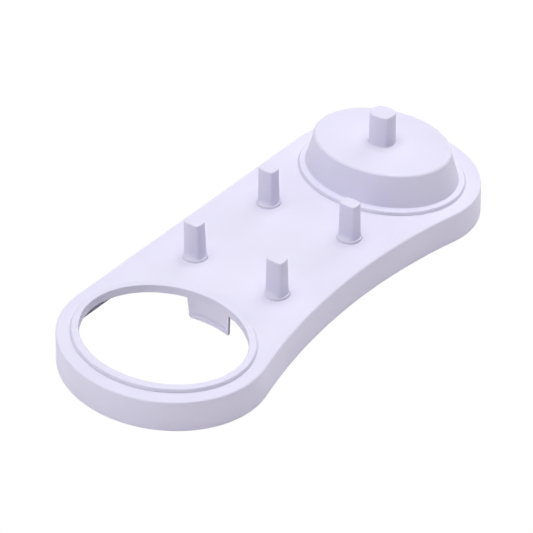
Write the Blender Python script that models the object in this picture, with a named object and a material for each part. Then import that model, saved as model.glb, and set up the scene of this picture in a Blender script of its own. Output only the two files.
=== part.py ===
"""Bench stand for an electric toothbrush.

A hollow moulded plate lies on the shelf. One end has an oval opening with a raised rim, which holds the
charger from below with two snap clips. The other end carries a raised oval stand with a peg for the handle.
Four pegs between them hold spare brush heads. X runs along the plate, from the charger to the handle, Y goes
to the straight far side, and Z is up. The origin is on the shelf, halfway between the two ovals.
"""

import math

import bmesh
import bpy
from mathutils import Vector

MM = 0.001

# Plate: two oval ends, a straight far side and a hollow near side. Plan sizes are taken at the foot.
RING_SPACING = 114.0 * MM
END_HALF_LENGTH = 30.2 * MM
END_HALF_WIDTH = 35.35 * MM
WAIST_HALF_WIDTH = 28.0 * MM
DECK_HEIGHT = 10.6 * MM
DECK_THICKNESS = 1.8 * MM
DECK_EDGE_RADIUS = 0.6 * MM
SKIRT_THICKNESS = 0.8 * MM
SKIRT_DRAFT = 0.4 * MM
FOOT_CHAMFER = 0.4 * MM
CAVITY_EDGE_RADIUS = 0.6 * MM

# Clearance that every seated or inserted piece keeps to its neighbour.
FIT_GAP = 0.3 * MM

# Oval charger opening and the raised lip round it.
OPENING_HALF_LENGTH = 22.3 * MM
OPENING_HALF_WIDTH = 28.0 * MM
LIP_WIDTH_ALONG = 2.95 * MM
LIP_WIDTH_ACROSS = 2.7 * MM
LIP_HEIGHT = 1.15 * MM
LIP_DRAFT = 0.3 * MM
LIP_INNER_RADIUS = 0.35 * MM
LIP_OUTER_RADIUS = 0.6 * MM
COLLAR_THICKNESS = 1.2 * MM

# Snap clips that hang from the charger rim.
CLIP_HALF_WIDTH = 8.25 * MM
CLIP_THICKNESS = 0.9 * MM
CLIP_FLOOR_CLEARANCE = 1.1 * MM
CLIP_CORNER_RADIUS = 1.1 * MM
CLIP_SIDE_TAPER = 0.5 * MM
BEAD_DEPTH = 0.5 * MM
BEAD_RISE = 1.95 * MM
BEAD_TIP_RISE = 1.65 * MM
BEAD_FOOT_RISE = 0.5 * MM
BEAD_FADE_POWER = 8

# Raised stand for the handle, with its own lip.
STAND_HEIGHT = 12.2 * MM
STAND_BASE_HALF_LENGTH = 21.5 * MM
STAND_BASE_HALF_WIDTH = 27.5 * MM
STAND_TOP_HALF_LENGTH = 19.2 * MM
STAND_TOP_HALF_WIDTH = 24.85 * MM
STAND_THICKNESS = 1.6 * MM
STAND_EDGE_RADIUS = 1.1 * MM
STAND_BASE_FILLET = 0.4 * MM
STAND_LIP_WIDTH_ALONG = 2.8 * MM
STAND_LIP_WIDTH_ACROSS = 2.5 * MM

# Peg for the handle, a little off the stand's centre toward the charger.
HANDLE_PEG_HEIGHT = 11.3 * MM
HANDLE_PEG_WIDTH = 8.5 * MM
HANDLE_PEG_DEPTH = 7.5 * MM
HANDLE_PEG_CORNER = 0.8 * MM
HANDLE_PEG_BOW = 0.8 * MM
HANDLE_PEG_DRAFT = 0.1 * MM
HANDLE_PEG_FLARE = 0.5 * MM
HANDLE_PEG_FLARE_HEIGHT = 0.8 * MM
HANDLE_PEG_OFFSET = 0.1 * MM

# Pegs for the brush heads: two columns along the plate, two rows across it.
BRUSH_PEG_PITCH_ALONG = 38.2 * MM
BRUSH_PEG_PITCH_ACROSS = 32.9 * MM
BRUSH_PEG_ROWS_OFFSET = 2.25 * MM
BRUSH_PEG_COLUMNS_OFFSET = 0.2 * MM
BRUSH_PEG_HEIGHT = 13.65 * MM
BRUSH_PEG_WIDTH = 6.6 * MM
BRUSH_PEG_DEPTH = 5.1 * MM
BRUSH_PEG_CORNER = 0.8 * MM
BRUSH_PEG_BOW = 0.35 * MM
BRUSH_PEG_DRAFT = 0.2 * MM
BRUSH_PEG_COLLAR_RADIUS = 4.2 * MM
BRUSH_PEG_COLLAR_HEIGHT = 2.3 * MM
BRUSH_PEG_DISC_HEIGHT = 0.8 * MM
BRUSH_PEG_DISC_DRAFT = 0.15 * MM
BRUSH_PEG_FLARE_POWER = 2.2
PEG_TOP_RADIUS = 0.45 * MM

# Spigot under every peg and the boss that receives it.
SPIGOT_INSET = 1.1 * MM
SPIGOT_CORNER = 0.4 * MM
BOSS_WALL = 1.2 * MM
BOSS_DROP = 2.4 * MM

# Cutters reach this far past the faces that they cut.
CUT_OVERRUN = 1.0 * MM
OVAL_SEGMENTS = 80
END_SEGMENTS = 36
WAIST_SEGMENTS = 20
EDGE_SEGMENTS = 3
CORNER_SEGMENTS = 4
SIDE_SEGMENTS = 4
CLIP_SEGMENTS = 16
FLARE_SEGMENTS = 4
SOLVER_STEPS = 60

PLASTIC_COLOUR = (0.775, 0.752, 0.92)
PLASTIC_ROUGHNESS = 0.38

CHARGER_X = -RING_SPACING / 2
HANDLE_X = RING_SPACING / 2
HANDLE_PEG_X = HANDLE_X - HANDLE_PEG_OFFSET
CEILING_HEIGHT = DECK_HEIGHT - DECK_THICKNESS
LIP_TOP = DECK_HEIGHT + LIP_HEIGHT
LIP_SEAT = DECK_HEIGHT + FIT_GAP
STAND_TOP = DECK_HEIGHT + STAND_HEIGHT
OPENING = (OPENING_HALF_LENGTH, OPENING_HALF_WIDTH)
LIP = (OPENING_HALF_LENGTH + LIP_WIDTH_ALONG, OPENING_HALF_WIDTH + LIP_WIDTH_ACROSS)
STAND_BASE = (STAND_BASE_HALF_LENGTH, STAND_BASE_HALF_WIDTH)
STAND_CROWN = (STAND_TOP_HALF_LENGTH, STAND_TOP_HALF_WIDTH)
STAND_LIP = (STAND_BASE_HALF_LENGTH + STAND_LIP_WIDTH_ALONG, STAND_BASE_HALF_WIDTH + STAND_LIP_WIDTH_ACROSS)


def plastic(name):
    """Satin plastic for one sub-part."""
    material = bpy.data.materials.new(name)
    material.use_nodes = True
    shader = material.node_tree.nodes["Principled BSDF"]
    shader.inputs["Base Color"].default_value = (*PLASTIC_COLOUR, 1.0)
    shader.inputs["Roughness"].default_value = PLASTIC_ROUGHNESS
    shader.inputs["Metallic"].default_value = 0.0
    return material


def add_object(name, bm, place=(0.0, 0.0, 0.0)):
    """Turn a bmesh, built round its own origin, into an object that stands at place."""
    bmesh.ops.recalc_face_normals(bm, faces=bm.faces)
    mesh = bpy.data.meshes.new(name)
    bm.to_mesh(mesh)
    bm.free()
    obj = bpy.data.objects.new(name, mesh)
    obj.location = place
    bpy.context.collection.objects.link(obj)
    return obj


def add_part(name, bm, place=(0.0, 0.0, 0.0)):
    """Add one sub-part with its own material."""
    obj = add_object(name, bm, place)
    obj.data.materials.append(plastic(name + "_plastic"))
    return obj


def add_tool(name, bm, place=(0.0, 0.0, 0.0)):
    """Add a body that a Boolean uses and that isn't itself a part."""
    obj = add_object(name, bm, place)
    obj.hide_render = True
    obj.display_type = "WIRE"
    return obj


def boolean(obj, tool, operation):
    modifier = obj.modifiers.new(operation.lower() + "_" + tool.name, "BOOLEAN")
    modifier.operation = operation
    modifier.solver = "EXACT"
    modifier.object = tool


def loft(rings, closed=False):
    """Skin a list of rings with equal point counts, with flat ends or, when closed, back to the first."""
    bm = bmesh.new()
    rows = [[bm.verts.new(point) for point in ring] for ring in rings]
    pairs = list(zip(rows, rows[1:]))
    if closed:
        pairs.append((rows[-1], rows[0]))
    for lower, upper in pairs:
        count = len(lower)
        for i in range(count):
            j = (i + 1) % count
            bm.faces.new((lower[i], lower[j], upper[j], upper[i]))
    if not closed:
        bm.faces.new(reversed(rows[0]))
        bm.faces.new(rows[-1])
    return bm


def oval(radii, grow, z):
    """Ring of points on an ellipse whose two radii are moved out by grow."""
    ring = []
    for i in range(OVAL_SEGMENTS):
        angle = math.tau * i / OVAL_SEGMENTS
        ring.append(Vector(((radii[0] + grow) * math.cos(angle), (radii[1] + grow) * math.sin(angle), z)))
    return ring


def round_steps(radius):
    """Steps in and up round a quarter circle, from a wall to the flat above it."""
    steps = []
    for i in range(EDGE_SEGMENTS + 1):
        angle = math.pi / 2 * i / EDGE_SEGMENTS
        steps.append((radius * (1 - math.cos(angle)), radius * (1 - math.sin(angle))))
    return steps


def waist_arc(half_length, half_width, waist):
    """Angle on the end oval where the near side's hollow starts, with that arc's centre and radius.

    The arc meets both end ovals at a tangent and comes within waist of the long axis. Its centre is where the
    oval's normal crosses the plate's middle, so the angle is found by halving the range that holds it.
    """
    low, high = 0.0, math.pi / 4
    for _ in range(SOLVER_STEPS):
        angle = (low + high) / 2
        point = Vector((CHARGER_X + half_length * math.sin(angle), -half_width * math.cos(angle)))
        normal = Vector((math.sin(angle) / half_length, -math.cos(angle) / half_width)).normalized()
        radius = -point.x / normal.x
        centre_y = point.y + radius * normal.y
        if centre_y + radius > -waist:
            high = angle
        else:
            low = angle
    return angle, centre_y, radius


def plate_outline(grow, z):
    """Anticlockwise ring round the plate, moved out by grow."""
    half_length = END_HALF_LENGTH + grow
    half_width = END_HALF_WIDTH + grow
    angle, centre_y, radius = waist_arc(half_length, half_width, WAIST_HALF_WIDTH + grow)
    ring = []
    for i in range(END_SEGMENTS + 1):
        turn = math.pi / 2 + (math.pi + angle) * i / END_SEGMENTS
        ring.append(Vector((CHARGER_X + half_length * math.cos(turn), half_width * math.sin(turn), z)))
    sweep = math.asin(-ring[-1].x / radius)
    for i in range(1, WAIST_SEGMENTS):
        turn = sweep * (2 * i / WAIST_SEGMENTS - 1)
        ring.append(Vector((radius * math.sin(turn), centre_y + radius * math.cos(turn), z)))
    for i in range(END_SEGMENTS + 1):
        turn = 3 * math.pi / 2 - angle + (math.pi + angle) * i / END_SEGMENTS
        ring.append(Vector((HANDLE_X + half_length * math.cos(turn), half_width * math.sin(turn), z)))
    return ring


def rounded_rectangle(depth, width, corner, z):
    """Ring round a rectangle, depth along X and width along Y, with points along its corners and sides."""
    corners = []
    for quarter in range(4):
        start = quarter * math.pi / 2
        side_x = 1 if quarter in (0, 3) else -1
        side_y = 1 if quarter in (0, 1) else -1
        centre_x = side_x * (depth / 2 - corner)
        centre_y = side_y * (width / 2 - corner)
        points = []
        for i in range(CORNER_SEGMENTS + 1):
            turn = start + math.pi / 2 * i / CORNER_SEGMENTS
            points.append(Vector((centre_x + corner * math.cos(turn), centre_y + corner * math.sin(turn), z)))
        corners.append(points)
    ring = []
    for points, following in zip(corners, corners[1:] + corners[:1]):
        ring.extend(points)
        for i in range(1, SIDE_SEGMENTS):
            ring.append(points[-1].lerp(following[0], i / SIDE_SEGMENTS))
    return ring


def bowed_rectangle(depth, width, corner, bow, z):
    """Rounded rectangle with sides that bow out, so that its corners lie inward by the bow."""
    ring = []
    for point in rounded_rectangle(depth, width, corner, z):
        along = 1 - 2 * bow / depth * (2 * point.y / width) ** 2
        across = 1 - 2 * bow / width * (2 * point.x / depth) ** 2
        ring.append(Vector((point.x * along, point.y * across, z)))
    return ring


def flare_ring(section, foot, share):
    """Ring between a peg's section and its foot ring, whose points lie in the same directions."""
    return [point.lerp(target, share) for point, target in zip(section, foot)]


def round_foot(section, radius):
    """Circle whose points lie in the same directions as a section's points."""
    foot = []
    for point in section:
        flat = Vector((point.x, point.y, 0.0)).normalized() * radius
        foot.append(Vector((flat.x, flat.y, point.z)))
    return foot


def brush_peg_places():
    """Centres of the four brush-head pegs, in order along each row."""
    places = []
    for row in (1, -1):
        for column in (-1, 1):
            x = BRUSH_PEG_COLUMNS_OFFSET + column * BRUSH_PEG_PITCH_ALONG / 2
            y = BRUSH_PEG_ROWS_OFFSET + row * BRUSH_PEG_PITCH_ACROSS / 2
            places.append((x, y))
    return places


def spigot_size(depth, width):
    return depth - 2 * SPIGOT_INSET, width - 2 * SPIGOT_INSET


def add_socket(host, name, depth, width, x, y, ceiling, thickness):
    """Boss under a host's wall with a keyed hole that a peg's spigot fits."""
    spigot_depth, spigot_width = spigot_size(depth, width)
    hole_depth = spigot_depth + 2 * FIT_GAP
    hole_width = spigot_width + 2 * FIT_GAP
    hole_corner = SPIGOT_CORNER + FIT_GAP
    boss_depth = hole_depth + 2 * BOSS_WALL
    boss_width = hole_width + 2 * BOSS_WALL
    boss_corner = hole_corner + BOSS_WALL
    top = ceiling + thickness
    boss_rings = [
        rounded_rectangle(boss_depth, boss_width, boss_corner, ceiling - BOSS_DROP),
        rounded_rectangle(boss_depth, boss_width, boss_corner, ceiling + thickness / 2),
    ]
    hole_rings = [
        rounded_rectangle(hole_depth, hole_width, hole_corner, ceiling - BOSS_DROP - CUT_OVERRUN),
        rounded_rectangle(hole_depth, hole_width, hole_corner, top + CUT_OVERRUN),
    ]
    boolean(host, add_tool(name + "_boss", loft(boss_rings), (x, y, 0.0)), "UNION")
    boolean(host, add_tool(name + "_hole", loft(hole_rings), (x, y, 0.0)), "DIFFERENCE")


def spigot_rings(depth, width, seat, thickness):
    """Rings of a spigot, from its tip under the boss up to the peg's seat."""
    spigot_depth, spigot_width = spigot_size(depth, width)
    tip = seat - FIT_GAP - thickness - BOSS_DROP
    return [
        rounded_rectangle(spigot_depth, spigot_width, SPIGOT_CORNER, tip),
        rounded_rectangle(spigot_depth, spigot_width, SPIGOT_CORNER, seat),
    ]


def peg_crown(depth, width, corner, bow, draft, bottom, top):
    """Rings of a drafted peg from bottom to its rounded top edge."""
    rings = [bowed_rectangle(depth, width, corner, bow, bottom)]
    for inward, down in round_steps(PEG_TOP_RADIUS):
        inset = draft + inward
        crown_depth = depth - 2 * inset
        crown_width = width - 2 * inset
        rings.append(bowed_rectangle(crown_depth, crown_width, corner - inset / 2, bow, top - down))
    return rings


def build_stand_shell():
    """Deck and skirt in one wall, open below, with an oval opening at each end."""
    rings = [
        plate_outline(-SKIRT_DRAFT - SKIRT_THICKNESS - CAVITY_EDGE_RADIUS, CEILING_HEIGHT),
        plate_outline(-SKIRT_DRAFT - SKIRT_THICKNESS, CEILING_HEIGHT - CAVITY_EDGE_RADIUS),
        plate_outline(-SKIRT_THICKNESS, FOOT_CHAMFER),
        plate_outline(-SKIRT_THICKNESS + FOOT_CHAMFER, 0.0),
        plate_outline(0.0, 0.0),
    ]
    for inward, down in round_steps(DECK_EDGE_RADIUS):
        rings.append(plate_outline(-SKIRT_DRAFT - inward, DECK_HEIGHT - down))
    shell = add_part("stand_shell", loft(rings))
    for number, (x, y) in enumerate(brush_peg_places(), 1):
        name = f"brush_socket_{number}"
        add_socket(shell, name, BRUSH_PEG_DEPTH, BRUSH_PEG_WIDTH, x, y, CEILING_HEIGHT, DECK_THICKNESS)
    charger_hole = (CHARGER_X, OPENING, COLLAR_THICKNESS + FIT_GAP)
    stand_hole = (HANDLE_X, STAND_BASE, FIT_GAP)
    for name, (x, radii, grow) in (("charger_opening", charger_hole), ("stand_opening", stand_hole)):
        cut = [oval(radii, grow, CEILING_HEIGHT - CUT_OVERRUN), oval(radii, grow, DECK_HEIGHT + CUT_OVERRUN)]
        boolean(shell, add_tool(name, loft(cut), (x, 0.0, 0.0)), "DIFFERENCE")


def lip_rings(lip, collar, grow):
    """Rings over a lip's outer side, from its flat top down to the seat on the deck and the collar."""
    rings = []
    for inward, down in reversed(round_steps(LIP_OUTER_RADIUS)):
        rings.append(oval(lip, -LIP_DRAFT - inward, LIP_TOP - down))
    rings.append(oval(lip, 0.0, LIP_SEAT))
    rings.append(oval(collar, grow, LIP_SEAT))
    rings.append(oval(collar, grow, CEILING_HEIGHT))
    return rings


def build_charger_rim():
    """Raised rim with a collar that lines the opening through the deck."""
    rings = [oval(OPENING, 0.0, CEILING_HEIGHT)]
    for inward, down in round_steps(LIP_INNER_RADIUS):
        rings.append(oval(OPENING, inward, LIP_TOP - down))
    rings.extend(lip_rings(LIP, OPENING, COLLAR_THICKNESS))
    add_part("charger_rim", loft(rings, closed=True), (CHARGER_X, 0.0, 0.0))


def build_handle_stand():
    """Hollow raised stand with a lip on the deck: its wall reaches down through the second opening."""
    rings = []
    for inward, down in reversed(round_steps(STAND_EDGE_RADIUS)):
        rings.append(oval(STAND_CROWN, -inward, STAND_TOP - down))
    for inward, down in round_steps(STAND_BASE_FILLET):
        rings.append(oval(STAND_BASE, inward, LIP_TOP + down))
    rings.extend(lip_rings(STAND_LIP, STAND_BASE, 0.0))
    rings.append(oval(STAND_BASE, -STAND_THICKNESS, CEILING_HEIGHT))
    rings.append(oval(STAND_CROWN, -STAND_THICKNESS, STAND_TOP - STAND_THICKNESS))
    stand = add_part("handle_stand", loft(rings), (HANDLE_X, 0.0, 0.0))
    name = "handle_socket"
    ceiling = STAND_TOP - STAND_THICKNESS
    add_socket(stand, name, HANDLE_PEG_DEPTH, HANDLE_PEG_WIDTH, HANDLE_PEG_X, 0.0, ceiling, STAND_THICKNESS)


def build_handle_peg():
    """Rounded peg that the handle's foot drops over."""
    seat = STAND_TOP + FIT_GAP
    rings = spigot_rings(HANDLE_PEG_DEPTH, HANDLE_PEG_WIDTH, seat, STAND_THICKNESS)
    foot_depth = HANDLE_PEG_DEPTH + 2 * HANDLE_PEG_FLARE
    foot_width = HANDLE_PEG_WIDTH + 2 * HANDLE_PEG_FLARE
    foot_corner = HANDLE_PEG_CORNER + HANDLE_PEG_FLARE
    rings.append(bowed_rectangle(foot_depth, foot_width, foot_corner, HANDLE_PEG_BOW, seat))
    shoulder = STAND_TOP + HANDLE_PEG_FLARE_HEIGHT
    top = STAND_TOP + HANDLE_PEG_HEIGHT
    size = (HANDLE_PEG_DEPTH, HANDLE_PEG_WIDTH, HANDLE_PEG_CORNER, HANDLE_PEG_BOW)
    crown = peg_crown(*size, HANDLE_PEG_DRAFT, shoulder, top)
    add_part("handle_peg", loft(rings + crown), (HANDLE_PEG_X, 0.0, 0.0))


def build_brush_peg(number, x, y):
    """Drafted peg that flares into a round disc on the deck."""
    seat = DECK_HEIGHT + FIT_GAP
    rings = spigot_rings(BRUSH_PEG_DEPTH, BRUSH_PEG_WIDTH, seat, DECK_THICKNESS)
    size = (BRUSH_PEG_DEPTH, BRUSH_PEG_WIDTH, BRUSH_PEG_CORNER, BRUSH_PEG_BOW)
    rings.append(round_foot(bowed_rectangle(*size, seat), BRUSH_PEG_COLLAR_RADIUS))
    for i in range(FLARE_SEGMENTS):
        rise = i / FLARE_SEGMENTS
        height = BRUSH_PEG_DISC_HEIGHT + (BRUSH_PEG_COLLAR_HEIGHT - BRUSH_PEG_DISC_HEIGHT) * rise
        section = bowed_rectangle(*size, DECK_HEIGHT + height)
        foot = round_foot(section, BRUSH_PEG_COLLAR_RADIUS - BRUSH_PEG_DISC_DRAFT)
        rings.append(flare_ring(section, foot, (1 - rise) ** BRUSH_PEG_FLARE_POWER))
    shoulder = DECK_HEIGHT + BRUSH_PEG_COLLAR_HEIGHT
    top = DECK_HEIGHT + BRUSH_PEG_HEIGHT
    crown = peg_crown(*size, BRUSH_PEG_DRAFT, shoulder, top)
    add_part(f"brush_peg_{number}", loft(rings + crown), (x, y, 0.0))


def clip_section(reach, lift, side, pivot):
    """One slice of a clip, reach from its middle: its wall follows the opening, with a bead near the foot.

    The bead fades out at both ends. Lift raises the foot where the lower corners are rounded. Points are
    relative to the clip's pivot.
    """
    foot = CLIP_FLOOR_CLEARANCE + lift
    head = CEILING_HEIGHT - FIT_GAP
    bead = BEAD_DEPTH * (1 - (reach / CLIP_HALF_WIDTH) ** BEAD_FADE_POWER)
    levels = (
        (0.0, head),
        (0.0, foot + BEAD_RISE),
        (-bead, foot + BEAD_TIP_RISE),
        (-bead, foot + BEAD_FOOT_RISE),
        (0.0, foot),
        (CLIP_THICKNESS, foot),
        (CLIP_THICKNESS, head),
    )
    ring = []
    for grow, z in levels:
        taper = 1 - CLIP_SIDE_TAPER / CLIP_HALF_WIDTH * (head - z) / (head - CLIP_FLOOR_CLEARANCE)
        y = reach * taper
        out = (OPENING_HALF_LENGTH + grow) * math.sqrt(1 - (y / (OPENING_HALF_WIDTH + grow)) ** 2)
        ring.append(Vector((CHARGER_X + side * out, y, z)) - pivot)
    return ring


def build_charger_clip(name, side):
    """Springy clip under the rim: it swings outward about its root while the charger snaps in."""
    root_x = CHARGER_X + side * (OPENING_HALF_LENGTH + CLIP_THICKNESS / 2)
    pivot = Vector((root_x, 0.0, CEILING_HEIGHT - FIT_GAP))
    rings = []
    for i in range(CLIP_SEGMENTS + 1):
        reach = -CLIP_HALF_WIDTH * math.cos(math.pi * i / CLIP_SEGMENTS)
        inset = CLIP_CORNER_RADIUS - CLIP_HALF_WIDTH + abs(reach)
        lift = 0.0
        if inset > 0:
            lift = CLIP_CORNER_RADIUS - math.sqrt(max(CLIP_CORNER_RADIUS**2 - inset**2, 0.0))
        rings.append(clip_section(reach, lift, side, pivot))
    add_part(name, loft(rings), pivot)


def build():
    for obj in list(bpy.data.objects):
        bpy.data.objects.remove(obj)
    build_stand_shell()
    build_charger_rim()
    build_charger_clip("charger_clip_inner", 1)
    build_charger_clip("charger_clip_outer", -1)
    build_handle_stand()
    build_handle_peg()
    for number, (x, y) in enumerate(brush_peg_places(), 1):
        build_brush_peg(number, x, y)


build()
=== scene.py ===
"""Looks of the electric toothbrush holder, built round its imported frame.

Every piece is satin, pale lavender moulded plastic. X runs along the plate from the charger opening to the
handle stand, Y goes to the straight far side and Z is up. Lengths are metres, from the frame or times MM.
"""

import math

import bmesh
import bpy
from mathutils import Matrix, Vector


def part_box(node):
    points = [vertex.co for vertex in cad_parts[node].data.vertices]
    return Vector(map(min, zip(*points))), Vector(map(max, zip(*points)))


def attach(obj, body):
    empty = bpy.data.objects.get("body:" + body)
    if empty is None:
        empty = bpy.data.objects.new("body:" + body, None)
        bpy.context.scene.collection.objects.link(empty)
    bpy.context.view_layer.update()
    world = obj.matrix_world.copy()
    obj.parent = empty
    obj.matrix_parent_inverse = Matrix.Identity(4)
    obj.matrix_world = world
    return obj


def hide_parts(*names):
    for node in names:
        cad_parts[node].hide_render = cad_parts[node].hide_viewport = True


MM = 0.001

# Camera, as fitted to the photograph.
FRAME_PIXELS = 533
FOCAL_PIXELS = 2185.0
SENSOR_MM = 36.0
NEAREST_SEEN = 10.0 * MM
AZIMUTH_DEG = -51.99
ELEVATION_DEG = 35.99
ROLL_DEG = -0.32
CAMERA_DISTANCE = 692.1 * MM
LOOK_AT = Vector((-9.25 * MM, -2.52 * MM, 10.2 * MM))

# Plate.
SKIRT_DRAFT = 0.4 * MM
SKIRT_THICKNESS = 0.8 * MM
DECK_THICKNESS = 1.8 * MM
DECK_EDGE_RADIUS = 0.6 * MM
FOOT_EDGE_RADIUS = 0.25 * MM
FOOT_CHAMFER = 0.4 * MM
CAVITY_EDGE_RADIUS = 0.6 * MM
WAIST_DEPTH = 7.35 * MM

# Charger opening's lip and collar.
LIP_WIDTH_ALONG = 2.95 * MM
LIP_WIDTH_ACROSS = 2.7 * MM
LIP_DRAFT = 0.3 * MM
LIP_INNER_RADIUS = 0.35 * MM
LIP_OUTER_RADIUS = 0.6 * MM
COLLAR_THICKNESS = 1.2 * MM
FIT_GAP = 0.3 * MM
LIP_ROOT_GAP = 0.15 * MM
SEAT_SINK = 0.03 * MM

# Snap clips.
CLIP_HALF_WIDTH = 8.25 * MM
CLIP_THICKNESS = 0.9 * MM
CLIP_FLOOR_CLEARANCE = 1.1 * MM
CLIP_CORNER_RADIUS = 1.1 * MM
CLIP_SQUARE_CORNER = 0.3 * MM
CLIP_SIDE_TAPER = 0.5 * MM
CLIP_HEAD_GAP = 0.02 * MM
CLIP_HEAD_CHAMFER = 0.35 * MM
BEAD_DEPTH = 0.5 * MM
BEAD_RISE = 1.95 * MM
BEAD_TIP_RISE = 1.65 * MM
BEAD_FOOT_RISE = 0.5 * MM
BEAD_FADE_POWER = 8
BEAD_GROOVE = 0.12 * MM
BEAD_GROOVE_TOP = 0.3 * MM

# Raised stand.
STAND_LIP_WIDTH_ALONG = 2.8 * MM
STAND_LIP_WIDTH_ACROSS = 2.5 * MM
STAND_TAPER_ALONG = 2.3 * MM
STAND_TAPER_ACROSS = 2.65 * MM
STAND_THICKNESS = 1.6 * MM
STAND_EDGE_RADIUS = 1.1 * MM
STAND_BASE_FILLET = 0.4 * MM

# Pegs.
HANDLE_PEG_WIDTH = 8.5 * MM
HANDLE_PEG_DEPTH = 7.5 * MM
HANDLE_PEG_CORNER = 0.55 * MM
HANDLE_PEG_BOW = 0.8 * MM
HANDLE_PEG_DRAFT = 0.1 * MM
HANDLE_PEG_FLARE = 0.5 * MM
HANDLE_PEG_FLARE_HEIGHT = 0.8 * MM
BRUSH_PEG_WIDTH = 6.6 * MM
BRUSH_PEG_DEPTH = 5.1 * MM
BRUSH_PEG_CORNER = 0.5 * MM
BRUSH_PEG_BOW = 0.35 * MM
BRUSH_PEG_DRAFT = 0.2 * MM
BRUSH_PEG_COLLAR_RADIUS = 4.2 * MM
BRUSH_PEG_COLLAR_HEIGHT = 2.3 * MM
BRUSH_PEG_DISC_HEIGHT = 0.8 * MM
BRUSH_PEG_DISC_DRAFT = 0.15 * MM
BRUSH_PEG_FLARE_POWER = 2.2
BRUSH_PEG_FACE_FLARE = 0.25
BRUSH_PEG_WEB_START = 0.85
BRUSH_PEG_DISC_EDGE = 0.15 * MM
PEG_TOP_RADIUS = 0.45 * MM
SPIGOT_INSET = 1.1 * MM
SPIGOT_CORNER = 0.4 * MM
BOSS_WALL = 1.2 * MM
BOSS_DROP = 2.4 * MM
CUT_OVERRUN = 1.0 * MM

# Counts.
BRUSH_PEG_COUNT = 4
OVAL_SEGMENTS = 240
END_SEGMENTS = 96
WAIST_SEGMENTS = 56
FAR_SEGMENTS = 24
EDGE_SEGMENTS = 7
CORNER_SEGMENTS = 8
SIDE_SEGMENTS = 12
CLIP_SEGMENTS = 48
FLARE_SEGMENTS = 10
SOLVER_STEPS = 60
SHARP_ANGLE_DEG = 32.0

# Plastic: body, then flow marks, worn edges, patches of gloss, and fine and broad texture.
PLASTIC_COLOUR = (0.775, 0.752, 0.92)
PLASTIC_IOR = 1.49
PLASTIC_SPECULAR = 0.45
PLASTIC_SCATTER = 0.06
PLASTIC_SCATTER_RADIUS = (1.0, 0.9, 1.1)
PLASTIC_SCATTER_SCALE = 1.2 * MM
SEED_STEP = (0.37, 0.11, 0.23)
NOISE_LOW = 0.3
NOISE_HIGH = 0.7
FLOW_SCALE = 38.0
FLOW_DETAIL = 3.0
FLOW_DARKEN = 0.985
FLOW_LIGHTEN = 1.012
WORN_COLOUR = (0.83, 0.81, 0.93, 1.0)
WORN_POINTINESS = (0.53, 0.62)
WORN_SHARE = 0.5
WORN_POLISH = -0.18
PATCH_SCALE = 160.0
PATCH_DETAIL = 4.0
PATCH_ROUGHNESS = (0.38, 0.47)
GRAIN_SCALE = 4200.0
GRAIN_DETAIL = 2.0
GRAIN_STRENGTH = 0.35
GRAIN_HEIGHT = 0.012 * MM
RIPPLE_SCALE = 210.0
RIPPLE_DETAIL = 1.0
RIPPLE_STRENGTH = 0.25
RIPPLE_HEIGHT = 0.02 * MM

# Stage: profile of the white sweep as radius and height, floor, then lights as name, place, size and power.
STAGE_PROFILE = ((2.0, -0.0004), (2.6, 0.15), (3.0, 0.6), (3.0, 3.0))
STAGE_SEGMENTS = 48
FLOOR_SIZE = 3.0
FLOOR_DROP = 0.1 * MM
FLOOR_COLOUR = (0.955, 0.94, 0.945)
STAGE_ROUGHNESS = 0.9
SWEEP_GLOW = 1.0
WHITE = (1.0, 1.0, 1.0, 1.0)
WORLD_STRENGTH = 0.01
LIGHTS = (
    ("overhead", (0.0, 0.0, 1.4), 1.2, 17.5),
    ("low_left", (-1.30, 0.00, 0.45), 0.9, 3.02),
    ("low_near_right", (0.92, -0.92, 0.45), 0.9, 1.30),
    ("low_right", (1.30, 0.00, 0.45), 0.9, 3.00),
    ("low_far_right", (0.92, 0.92, 0.45), 0.9, 0.80),
    ("low_far_left", (-0.92, 0.92, 0.45), 0.9, 2.91),
    ("high_right", (0.90, 0.00, 1.1), 1.2, 3.55),
)

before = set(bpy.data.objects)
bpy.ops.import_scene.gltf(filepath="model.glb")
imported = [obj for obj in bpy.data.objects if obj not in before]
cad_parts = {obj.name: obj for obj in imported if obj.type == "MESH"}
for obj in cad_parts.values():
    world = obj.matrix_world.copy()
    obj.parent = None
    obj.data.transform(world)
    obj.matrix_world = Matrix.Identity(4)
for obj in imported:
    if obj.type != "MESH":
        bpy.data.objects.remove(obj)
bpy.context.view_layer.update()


def middle(box):
    low, high = Vector(box[0]), Vector(box[1])
    return (low + high) / 2


def half_size(box):
    low, high = Vector(box[0]), Vector(box[1])
    return (high - low) / 2


shell_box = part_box("stand_shell")
rim_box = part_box("charger_rim")
stand_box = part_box("handle_stand")
handle_peg_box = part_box("handle_peg")

DECK_HEIGHT = half_size(shell_box).z * 2
CEILING_HEIGHT = DECK_HEIGHT - DECK_THICKNESS
LIP_TOP = Vector(rim_box[1]).z
STAND_TOP = Vector(stand_box[1]).z
HANDLE_PEG_TOP = Vector(handle_peg_box[1]).z
CHARGER_X = middle(rim_box).x
HANDLE_X = middle(stand_box).x
HANDLE_PEG_X = middle(handle_peg_box).x
END_HALF_LENGTH = half_size(shell_box).x + CHARGER_X
END_HALF_WIDTH = Vector(shell_box[1]).y
WAIST_HALF_WIDTH = END_HALF_WIDTH - WAIST_DEPTH
LIP = (half_size(rim_box).x, half_size(rim_box).y)
OPENING = (LIP[0] - LIP_WIDTH_ALONG, LIP[1] - LIP_WIDTH_ACROSS)
STAND_LIP = (half_size(stand_box).x, half_size(stand_box).y)
STAND_BASE = (STAND_LIP[0] - STAND_LIP_WIDTH_ALONG, STAND_LIP[1] - STAND_LIP_WIDTH_ACROSS)
STAND_CROWN = (STAND_BASE[0] - STAND_TAPER_ALONG, STAND_BASE[1] - STAND_TAPER_ACROSS)


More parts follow.
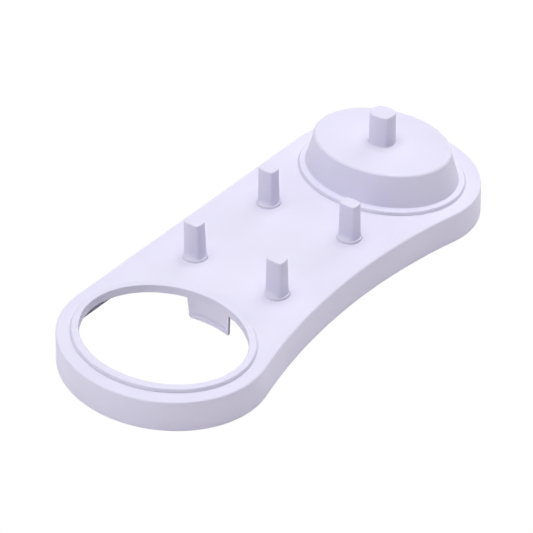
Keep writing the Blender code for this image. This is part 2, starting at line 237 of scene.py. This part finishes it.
def scaled_colour(colour, factor):
    return (*[min(channel * factor, 1.0) for channel in colour], 1.0)


def add_noise(nodes, link, vector, scale, detail):
    noise = nodes.new("ShaderNodeTexNoise")
    noise.inputs["Scale"].default_value = scale
    noise.inputs["Detail"].default_value = detail
    link(vector, noise.inputs["Vector"])
    return noise.outputs["Fac"]


def add_range(nodes, link, value, source, target):
    """Map a value from one range to another."""
    scale = nodes.new("ShaderNodeMapRange")
    scale.inputs["From Min"].default_value = source[0]
    scale.inputs["From Max"].default_value = source[1]
    scale.inputs["To Min"].default_value = target[0]
    scale.inputs["To Max"].default_value = target[1]
    link(value, scale.inputs["Value"])
    return scale.outputs["Result"]


def add_bump(nodes, link, height, strength, distance):
    bump = nodes.new("ShaderNodeBump")
    bump.inputs["Strength"].default_value = strength
    bump.inputs["Distance"].default_value = distance
    link(height, bump.inputs["Height"])
    return bump


def moulded_plastic(name, seed):
    """Satin plastic: faint flow marks in colour, fine moulding texture, gloss that varies and worn edges."""
    material = bpy.data.materials.new(name)
    material.use_nodes = True
    nodes = material.node_tree.nodes
    link = material.node_tree.links.new
    shader = nodes["Principled BSDF"]
    shader.inputs["Metallic"].default_value = 0.0
    shader.inputs["IOR"].default_value = PLASTIC_IOR
    shader.inputs["Specular IOR Level"].default_value = PLASTIC_SPECULAR
    shader.inputs["Subsurface Weight"].default_value = PLASTIC_SCATTER
    shader.inputs["Subsurface Radius"].default_value = PLASTIC_SCATTER_RADIUS
    shader.inputs["Subsurface Scale"].default_value = PLASTIC_SCATTER_SCALE

    place = nodes.new("ShaderNodeTexCoord")
    shift = nodes.new("ShaderNodeVectorMath")
    shift.operation = "ADD"
    shift.inputs[1].default_value = [seed * step for step in SEED_STEP]
    link(place.outputs["Object"], shift.inputs[0])
    vector = shift.outputs[0]

    flow = add_noise(nodes, link, vector, FLOW_SCALE, FLOW_DETAIL)
    tint = nodes.new("ShaderNodeValToRGB")
    tint.color_ramp.elements[0].position = NOISE_LOW
    tint.color_ramp.elements[1].position = NOISE_HIGH
    tint.color_ramp.elements[0].color = scaled_colour(PLASTIC_COLOUR, FLOW_DARKEN)
    tint.color_ramp.elements[1].color = scaled_colour(PLASTIC_COLOUR, FLOW_LIGHTEN)
    link(flow, tint.inputs["Fac"])

    edge = nodes.new("ShaderNodeNewGeometry")
    edge_mask = add_range(nodes, link, edge.outputs["Pointiness"], WORN_POINTINESS, (0.0, WORN_SHARE))
    worn = nodes.new("ShaderNodeMixRGB")
    worn.inputs["Color2"].default_value = WORN_COLOUR
    link(edge_mask, worn.inputs["Fac"])
    link(tint.outputs["Color"], worn.inputs["Color1"])
    link(worn.outputs["Color"], shader.inputs["Base Color"])

    patch = add_noise(nodes, link, vector, PATCH_SCALE, PATCH_DETAIL)
    gloss = add_range(nodes, link, patch, (NOISE_LOW, NOISE_HIGH), PATCH_ROUGHNESS)
    polish = nodes.new("ShaderNodeMath")
    polish.operation = "MULTIPLY_ADD"
    polish.inputs[1].default_value = WORN_POLISH
    link(edge_mask, polish.inputs[0])
    link(gloss, polish.inputs[2])
    link(polish.outputs["Value"], shader.inputs["Roughness"])

    grain = add_noise(nodes, link, vector, GRAIN_SCALE, GRAIN_DETAIL)
    ripple = add_noise(nodes, link, vector, RIPPLE_SCALE, RIPPLE_DETAIL)
    fine = add_bump(nodes, link, grain, GRAIN_STRENGTH, GRAIN_HEIGHT)
    broad = add_bump(nodes, link, ripple, RIPPLE_STRENGTH, RIPPLE_HEIGHT)
    link(fine.outputs["Normal"], broad.inputs["Normal"])
    link(broad.outputs["Normal"], shader.inputs["Normal"])
    return material


def loft(rings, closed=False):
    """Skin rings of equal point counts, with flat ends or, when closed, back to the first."""
    bm = bmesh.new()
    rows = [[bm.verts.new(point) for point in ring] for ring in rings]
    pairs = list(zip(rows, rows[1:]))
    if closed:
        pairs.append((rows[-1], rows[0]))
    for lower, upper in pairs:
        count = len(lower)
        for i in range(count):
            j = (i + 1) % count
            bm.faces.new((lower[i], lower[j], upper[j], upper[i]))
    if not closed:
        bm.faces.new(reversed(rows[0]))
        bm.faces.new(rows[-1])
    bmesh.ops.recalc_face_normals(bm, faces=bm.faces)
    return bm


def new_object(name, bm, place=(0.0, 0.0, 0.0)):
    mesh = bpy.data.meshes.new(name)
    bm.to_mesh(mesh)
    bm.free()
    obj = bpy.data.objects.new(name, mesh)
    obj.location = place
    bpy.context.collection.objects.link(obj)
    return obj


def cut_or_join(obj, bm, operation, place=(0.0, 0.0, 0.0)):
    """Apply one exact Boolean with a body that is then removed."""
    tool = new_object(obj.name + "_tool", bm, place)
    modifier = obj.modifiers.new(operation, "BOOLEAN")
    modifier.operation = operation
    modifier.solver = "EXACT"
    modifier.object = tool
    bpy.context.view_layer.update()
    evaluated = obj.evaluated_get(bpy.context.evaluated_depsgraph_get())
    mesh = bpy.data.meshes.new_from_object(evaluated)
    obj.modifiers.clear()
    obj.data = mesh
    bpy.data.objects.remove(tool)


def soften(obj):
    """Smooth shading that stays crisp at corners, with normals led by the large flat faces."""
    bm = bmesh.new()
    bm.from_mesh(obj.data)
    for face in bm.faces:
        face.smooth = True
    for edge in bm.edges:
        edge.smooth = len(edge.link_faces) == 2 and edge.calc_face_angle(0.0) < math.radians(SHARP_ANGLE_DEG)
    bm.to_mesh(obj.data)
    bm.free()
    weighted = obj.modifiers.new("weighted_normals", "WEIGHTED_NORMAL")
    weighted.keep_sharp = True
    weighted.mode = "FACE_AREA"


def add_piece(obj, body, material, slot, *nodes):
    soften(obj)
    obj.data.materials.clear()
    obj.data.materials.append(material)
    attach(obj, body)
    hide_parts(*nodes)
    return obj


def oval(radii, grow, z):
    ring = []
    for i in range(OVAL_SEGMENTS):
        angle = math.tau * i / OVAL_SEGMENTS
        ring.append(Vector(((radii[0] + grow) * math.cos(angle), (radii[1] + grow) * math.sin(angle), z)))
    return ring


def round_steps(radius):
    """Steps in and up round a quarter circle, from a wall to the flat above it."""
    steps = []
    for i in range(EDGE_SEGMENTS + 1):
        angle = math.pi / 2 * i / EDGE_SEGMENTS
        steps.append((radius * (1 - math.cos(angle)), radius * (1 - math.sin(angle))))
    return steps


def waist_arc(half_length, half_width, waist):
    """Angle on the end oval where the near side's hollow starts, with that arc's centre and radius."""
    low, high = 0.0, math.pi / 4
    for _ in range(SOLVER_STEPS):
        angle = (low + high) / 2
        point = Vector((CHARGER_X + half_length * math.sin(angle), -half_width * math.cos(angle)))
        normal = Vector((math.sin(angle) / half_length, -math.cos(angle) / half_width)).normalized()
        radius = -point.x / normal.x
        centre_y = point.y + radius * normal.y
        if centre_y + radius > -waist:
            high = angle
        else:
            low = angle
    return angle, centre_y, radius


def plate_outline(grow, z):
    """Anticlockwise ring round the plate, moved out by grow."""
    half_length = END_HALF_LENGTH + grow
    half_width = END_HALF_WIDTH + grow
    angle, centre_y, radius = waist_arc(half_length, half_width, WAIST_HALF_WIDTH + grow)
    ring = []
    for i in range(END_SEGMENTS + 1):
        turn = math.pi / 2 + (math.pi + angle) * i / END_SEGMENTS
        ring.append(Vector((CHARGER_X + half_length * math.cos(turn), half_width * math.sin(turn), z)))
    sweep = math.asin(-ring[-1].x / radius)
    for i in range(1, WAIST_SEGMENTS):
        turn = sweep * (2 * i / WAIST_SEGMENTS - 1)
        ring.append(Vector((radius * math.sin(turn), centre_y + radius * math.cos(turn), z)))
    for i in range(END_SEGMENTS + 1):
        turn = 3 * math.pi / 2 - angle + (math.pi + angle) * i / END_SEGMENTS
        ring.append(Vector((HANDLE_X + half_length * math.cos(turn), half_width * math.sin(turn), z)))
    for i in range(1, FAR_SEGMENTS):
        share = i / FAR_SEGMENTS
        ring.append(Vector((HANDLE_X + (CHARGER_X - HANDLE_X) * share, half_width, z)))
    return ring


def rounded_rectangle(depth, width, corner, z):
    """Ring round a rectangle with round corners and with points along its sides."""
    corners = []
    for quarter in range(4):
        start = quarter * math.pi / 2
        side_x = 1 if quarter in (0, 3) else -1
        side_y = 1 if quarter in (0, 1) else -1
        centre_x = side_x * (depth / 2 - corner)
        centre_y = side_y * (width / 2 - corner)
        points = []
        for i in range(CORNER_SEGMENTS + 1):
            turn = start + math.pi / 2 * i / CORNER_SEGMENTS
            points.append(Vector((centre_x + corner * math.cos(turn), centre_y + corner * math.sin(turn), z)))
        corners.append(points)
    ring = []
    for points, following in zip(corners, corners[1:] + corners[:1]):
        ring.extend(points)
        for i in range(1, SIDE_SEGMENTS):
            ring.append(points[-1].lerp(following[0], i / SIDE_SEGMENTS))
    return ring


def bowed_rectangle(depth, width, corner, bow, z):
    """Rounded rectangle with sides that bow out, so that its corners lie inward by the bow."""
    ring = []
    for point in rounded_rectangle(depth, width, corner, z):
        along = 1 - 2 * bow / depth * (2 * point.y / width) ** 2
        across = 1 - 2 * bow / width * (2 * point.x / depth) ** 2
        ring.append(Vector((point.x * along, point.y * across, z)))
    return ring


def round_foot(section, radius):
    """Push a section's points out, or in, to a circle."""
    foot = []
    for point in section:
        flat = Vector((point.x, point.y, 0.0)).normalized() * radius
        foot.append(Vector((flat.x, flat.y, point.z)))
    return foot


def add_socket(host, depth, width, x, y, ceiling, thickness):
    """Boss under a wall with the keyed hole for a peg's spigot."""
    hole_depth = depth - 2 * SPIGOT_INSET + 2 * FIT_GAP
    hole_width = width - 2 * SPIGOT_INSET + 2 * FIT_GAP
    hole_corner = SPIGOT_CORNER + FIT_GAP
    boss_size = (hole_depth + 2 * BOSS_WALL, hole_width + 2 * BOSS_WALL, hole_corner + BOSS_WALL)
    boss = [
        rounded_rectangle(*boss_size, ceiling - BOSS_DROP),
        rounded_rectangle(*boss_size, ceiling + thickness / 2),
    ]
    hole = [
        rounded_rectangle(hole_depth, hole_width, hole_corner, ceiling - BOSS_DROP - CUT_OVERRUN),
        rounded_rectangle(hole_depth, hole_width, hole_corner, ceiling + thickness + CUT_OVERRUN),
    ]
    cut_or_join(host, loft(boss), "UNION", (x, y, 0.0))
    cut_or_join(host, loft(hole), "DIFFERENCE", (x, y, 0.0))


def spigot_rings(depth, width, seat, thickness):
    size = (depth - 2 * SPIGOT_INSET, width - 2 * SPIGOT_INSET, SPIGOT_CORNER)
    return [rounded_rectangle(*size, seat - thickness - BOSS_DROP), rounded_rectangle(*size, seat)]


def peg_crown(depth, width, corner, bow, draft, bottom, top):
    rings = [bowed_rectangle(depth, width, corner, bow, bottom)]
    for inward, down in round_steps(PEG_TOP_RADIUS):
        inset = draft + inward
        crown = (depth - 2 * inset, width - 2 * inset, corner - inset / 2, bow)
        rings.append(bowed_rectangle(*crown, top - down))
    return rings


def brush_peg_centres():
    centres = {}
    for number in range(1, BRUSH_PEG_COUNT + 1):
        node = f"brush_peg_{number}"
        centres[node] = middle(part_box(node))
    return centres


def build_plate(material):
    rings = [
        plate_outline(-SKIRT_DRAFT - SKIRT_THICKNESS - CAVITY_EDGE_RADIUS, CEILING_HEIGHT),
        plate_outline(-SKIRT_DRAFT - SKIRT_THICKNESS, CEILING_HEIGHT - CAVITY_EDGE_RADIUS),
    ]
    rings.append(plate_outline(-SKIRT_THICKNESS, FOOT_CHAMFER))
    rings.append(plate_outline(-SKIRT_THICKNESS + FOOT_CHAMFER, 0.0))
    for inward, down in reversed(round_steps(FOOT_EDGE_RADIUS)):
        rings.append(plate_outline(-inward, down))
    for inward, down in round_steps(DECK_EDGE_RADIUS):
        rings.append(plate_outline(-SKIRT_DRAFT - inward, DECK_HEIGHT - down))
    plate = new_object("plate", loft(rings))
    size = (BRUSH_PEG_DEPTH, BRUSH_PEG_WIDTH)
    for centre in brush_peg_centres().values():
        add_socket(plate, *size, centre.x, centre.y, CEILING_HEIGHT, DECK_THICKNESS)
    openings = (
        (CHARGER_X, OPENING, COLLAR_THICKNESS + FIT_GAP),
        (HANDLE_X, STAND_BASE, FIT_GAP),
    )
    for x, radii, grow in openings:
        cut = [oval(radii, grow, CEILING_HEIGHT - CUT_OVERRUN), oval(radii, grow, DECK_HEIGHT + CUT_OVERRUN)]
        cut_or_join(plate, loft(cut), "DIFFERENCE", (x, 0.0, 0.0))
    add_piece(plate, "stand", material, "shell", "stand_shell")


def lip_rings(lip, collar, grow):
    """Rings over a lip's outer side, from its flat top down to the deck and the foot of its collar."""
    rings = []
    for inward, down in reversed(round_steps(LIP_OUTER_RADIUS)):
        rings.append(oval(lip, -LIP_DRAFT - inward, LIP_TOP - down))
    rings.append(oval(lip, 0.0, DECK_HEIGHT + LIP_ROOT_GAP))
    rings.append(oval(collar, grow, DECK_HEIGHT + LIP_ROOT_GAP))
    rings.append(oval(collar, grow, CEILING_HEIGHT))
    return rings


def build_rim(material):
    rings = [oval(OPENING, 0.0, CEILING_HEIGHT)]
    for inward, down in round_steps(LIP_INNER_RADIUS):
        rings.append(oval(OPENING, inward, LIP_TOP - down))
    rings.extend(lip_rings(LIP, OPENING, COLLAR_THICKNESS))
    rim = new_object("rim", loft(rings, closed=True), (CHARGER_X, 0.0, 0.0))
    add_piece(rim, "stand", material, "rim", "charger_rim")


def build_raised_stand(material):
    rings = []
    for inward, down in reversed(round_steps(STAND_EDGE_RADIUS)):
        rings.append(oval(STAND_CROWN, -inward, STAND_TOP - down))
    for inward, down in round_steps(STAND_BASE_FILLET):
        rings.append(oval(STAND_BASE, inward, LIP_TOP + down))
    rings.extend(lip_rings(STAND_LIP, STAND_BASE, 0.0))
    rings.append(oval(STAND_BASE, -STAND_THICKNESS, CEILING_HEIGHT))
    rings.append(oval(STAND_CROWN, -STAND_THICKNESS, STAND_TOP - STAND_THICKNESS))
    stand = new_object("raised_stand", loft(rings), (HANDLE_X, 0.0, 0.0))
    ceiling = STAND_TOP - STAND_THICKNESS
    add_socket(stand, HANDLE_PEG_DEPTH, HANDLE_PEG_WIDTH, HANDLE_PEG_X, 0.0, ceiling, STAND_THICKNESS)
    add_piece(stand, "stand", material, "raised_stand", "handle_stand")


def build_handle_peg(material):
    seat = STAND_TOP - SEAT_SINK
    rings = spigot_rings(HANDLE_PEG_DEPTH, HANDLE_PEG_WIDTH, seat, STAND_THICKNESS)
    for i in range(FLARE_SEGMENTS + 1):
        rise = i / FLARE_SEGMENTS
        flare = HANDLE_PEG_FLARE * (1 - math.sin(math.pi / 2 * rise))
        depth = HANDLE_PEG_DEPTH + 2 * flare
        width = HANDLE_PEG_WIDTH + 2 * flare
        z = seat + (HANDLE_PEG_FLARE_HEIGHT + SEAT_SINK) * (1 - math.cos(math.pi / 2 * rise))
        rings.append(bowed_rectangle(depth, width, HANDLE_PEG_CORNER + flare, HANDLE_PEG_BOW, z))
    size = (HANDLE_PEG_DEPTH, HANDLE_PEG_WIDTH, HANDLE_PEG_CORNER, HANDLE_PEG_BOW)
    crown = peg_crown(*size, HANDLE_PEG_DRAFT, STAND_TOP, HANDLE_PEG_TOP)
    rings.extend(crown[1:])
    peg = new_object("handle_post", loft(rings), (HANDLE_PEG_X, 0.0, 0.0))
    add_piece(peg, "stand", material, "pegs", "handle_peg")


def build_brush_peg(node, centre, material):
    seat = DECK_HEIGHT - SEAT_SINK
    top = Vector(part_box(node)[1]).z
    rings = spigot_rings(BRUSH_PEG_DEPTH, BRUSH_PEG_WIDTH, seat, DECK_THICKNESS)
    size = (BRUSH_PEG_DEPTH, BRUSH_PEG_WIDTH, BRUSH_PEG_CORNER, BRUSH_PEG_BOW)
    rings.append(round_foot(bowed_rectangle(*size, seat), BRUSH_PEG_COLLAR_RADIUS))
    disc_radius = BRUSH_PEG_COLLAR_RADIUS - BRUSH_PEG_DISC_DRAFT
    disc = bowed_rectangle(*size, DECK_HEIGHT + BRUSH_PEG_DISC_HEIGHT - BRUSH_PEG_DISC_EDGE)
    rings.append(round_foot(disc, disc_radius))
    disc = bowed_rectangle(*size, DECK_HEIGHT + BRUSH_PEG_DISC_HEIGHT)
    rings.append(round_foot(disc, disc_radius - BRUSH_PEG_DISC_EDGE))
    for i in range(FLARE_SEGMENTS):
        rise = i / FLARE_SEGMENTS
        height = BRUSH_PEG_DISC_HEIGHT + (BRUSH_PEG_COLLAR_HEIGHT - BRUSH_PEG_DISC_HEIGHT) * rise
        section = bowed_rectangle(*size, DECK_HEIGHT + height)
        foot = round_foot(section, disc_radius - 2 * BRUSH_PEG_DISC_EDGE)
        share = (1 - rise) ** BRUSH_PEG_FLARE_POWER
        ring = []
        for point, target in zip(section, foot):
            web = min((2 * abs(point.x) / BRUSH_PEG_DEPTH / BRUSH_PEG_WEB_START) ** 2, 1.0)
            web = BRUSH_PEG_FACE_FLARE + (1 - BRUSH_PEG_FACE_FLARE) * web
            ring.append(point.lerp(target, share * web))
        rings.append(ring)
    shoulder = DECK_HEIGHT + BRUSH_PEG_COLLAR_HEIGHT
    rings.extend(peg_crown(*size, BRUSH_PEG_DRAFT, shoulder, top))
    peg = new_object(node.replace("peg", "post"), loft(rings), (centre.x, centre.y, 0.0))
    add_piece(peg, "stand", material, "pegs", node)


def clip_section(reach, lift, side):
    """One slice of a clip, with a bead near its foot and a chamfer that clears the rim as it swings out."""
    foot = CLIP_FLOOR_CLEARANCE + lift
    head = CEILING_HEIGHT - CLIP_HEAD_GAP
    fade = 1 - (reach / CLIP_HALF_WIDTH) ** BEAD_FADE_POWER
    bead = BEAD_DEPTH * fade
    groove = BEAD_GROOVE * fade
    levels = (
        (0.0, head),
        (0.0, foot + BEAD_RISE + BEAD_GROOVE_TOP),
        (groove, foot + BEAD_RISE + BEAD_GROOVE),
        (0.0, foot + BEAD_RISE),
        (-bead, foot + BEAD_TIP_RISE),
        (-bead, foot + BEAD_FOOT_RISE),
        (0.0, foot),
        (CLIP_THICKNESS, foot),
        (CLIP_THICKNESS, head - CLIP_HEAD_CHAMFER),
        (CLIP_THICKNESS - CLIP_HEAD_CHAMFER, head),
    )
    ring = []
    for grow, z in levels:
        taper = 1 - CLIP_SIDE_TAPER / CLIP_HALF_WIDTH * (head - z) / (head - CLIP_FLOOR_CLEARANCE)
        y = reach * taper
        out = (OPENING[0] + grow) * math.sqrt(1 - (y / (OPENING[1] + grow)) ** 2)
        ring.append(Vector((CHARGER_X + side * out, y, z)))
    return ring


def build_clip(name, node, body, side, material):
    rings = []
    for i in range(CLIP_SEGMENTS + 1):
        reach = -CLIP_HALF_WIDTH * math.cos(math.pi * i / CLIP_SEGMENTS)
        corner = CLIP_CORNER_RADIUS if reach > 0 else CLIP_SQUARE_CORNER
        inset = corner - CLIP_HALF_WIDTH + abs(reach)
        lift = 0.0
        if inset > 0:
            lift = corner - math.sqrt(max(corner**2 - inset**2, 0.0))
        rings.append(clip_section(reach, lift, side))
    clip = new_object(name, loft(rings))
    add_piece(clip, body, material, "clips", node)


def stage_material(name, colour, glow):
    material = bpy.data.materials.new(name)
    material.use_nodes = True
    shader = material.node_tree.nodes["Principled BSDF"]
    shader.inputs["Base Color"].default_value = (*colour, 1.0)
    shader.inputs["Roughness"].default_value = STAGE_ROUGHNESS
    shader.inputs["Specular IOR Level"].default_value = 0.0
    shader.inputs["Emission Color"].default_value = WHITE
    shader.inputs["Emission Strength"].default_value = glow
    return material


def add_floor():
    """Seamless white sweep that the camera sees, over a plain floor that throws the light back up."""
    bm = bmesh.new()
    rows = []
    for radius, height in STAGE_PROFILE:
        row = []
        for i in range(STAGE_SEGMENTS):
            turn = math.tau * i / STAGE_SEGMENTS
            row.append(bm.verts.new((radius * math.cos(turn), radius * math.sin(turn), height)))
        rows.append(row)
    bm.faces.new(rows[0])
    for lower, upper in zip(rows, rows[1:]):
        for i in range(STAGE_SEGMENTS):
            j = (i + 1) % STAGE_SEGMENTS
            bm.faces.new((lower[i], lower[j], upper[j], upper[i]))
    sweep = new_object("floor_sweep", bm)
    sweep.data.materials.append(stage_material("sweep_white", (0.0, 0.0, 0.0), SWEEP_GLOW))
    sweep.visible_diffuse = False
    sweep.visible_glossy = False
    sweep.visible_transmission = False
    sweep.visible_shadow = False

    bm = bmesh.new()
    corners = ((-1, -1), (1, -1), (1, 1), (-1, 1))
    bm.faces.new([bm.verts.new((x * FLOOR_SIZE, y * FLOOR_SIZE, -FLOOR_DROP)) for x, y in corners])
    floor = new_object("floor", bm)
    floor.data.materials.append(stage_material("floor_pale", FLOOR_COLOUR, 0.0))
    floor.visible_camera = False


def add_area(name, place, size, power):
    light = bpy.data.lights.new(name, "AREA")
    light.shape = "DISK"
    light.size = size
    light.energy = power
    obj = bpy.data.objects.new(name, light)
    obj.location = place
    obj.rotation_euler = (-Vector(place)).to_track_quat("-Z", "Y").to_euler()
    bpy.context.collection.objects.link(obj)


def add_lights():
    world = bpy.data.worlds.new("studio")
    world.use_nodes = True
    world.node_tree.nodes["Background"].inputs["Color"].default_value = WHITE
    world.node_tree.nodes["Background"].inputs["Strength"].default_value = WORLD_STRENGTH
    bpy.context.scene.world = world
    for light in LIGHTS:
        add_area(*light)
    bpy.context.scene.view_settings.view_transform = "Standard"


def add_camera():
    azimuth = math.radians(AZIMUTH_DEG)
    elevation = math.radians(ELEVATION_DEG)
    roll = math.radians(ROLL_DEG)
    level = math.cos(elevation)
    back = Vector((math.sin(azimuth) * level, -math.cos(azimuth) * level, math.sin(elevation)))
    right = Vector((math.cos(azimuth), math.sin(azimuth), 0.0))
    up = back.cross(right)
    turned_right = right * math.cos(roll) + up * math.sin(roll)
    turned_up = up * math.cos(roll) - right * math.sin(roll)
    data = bpy.data.cameras.new("camera")
    data.sensor_width = SENSOR_MM
    data.lens = FOCAL_PIXELS * SENSOR_MM / FRAME_PIXELS
    data.clip_start = NEAREST_SEEN
    camera = bpy.data.objects.new("camera", data)
    axes = Matrix((turned_right, turned_up, back)).transposed().to_4x4()
    camera.matrix_world = Matrix.Translation(LOOK_AT + back * CAMERA_DISTANCE) @ axes
    bpy.context.collection.objects.link(camera)
    bpy.context.scene.camera = camera


def build():
    build_plate(moulded_plastic("shell_plastic", 1))
    build_rim(moulded_plastic("rim_plastic", 2))
    clips = moulded_plastic("clip_plastic", 3)
    build_clip("clip_near_pegs", "charger_clip_inner", "clip_inner", 1, clips)
    build_clip("clip_outer", "charger_clip_outer", "clip_outer", -1, clips)
    build_raised_stand(moulded_plastic("stand_plastic", 4))
    pegs = moulded_plastic("peg_plastic", 5)
    build_handle_peg(pegs)
    for node, centre in brush_peg_centres().items():
        build_brush_peg(node, centre, pegs)
    add_floor()
    add_lights()
    add_camera()


build()
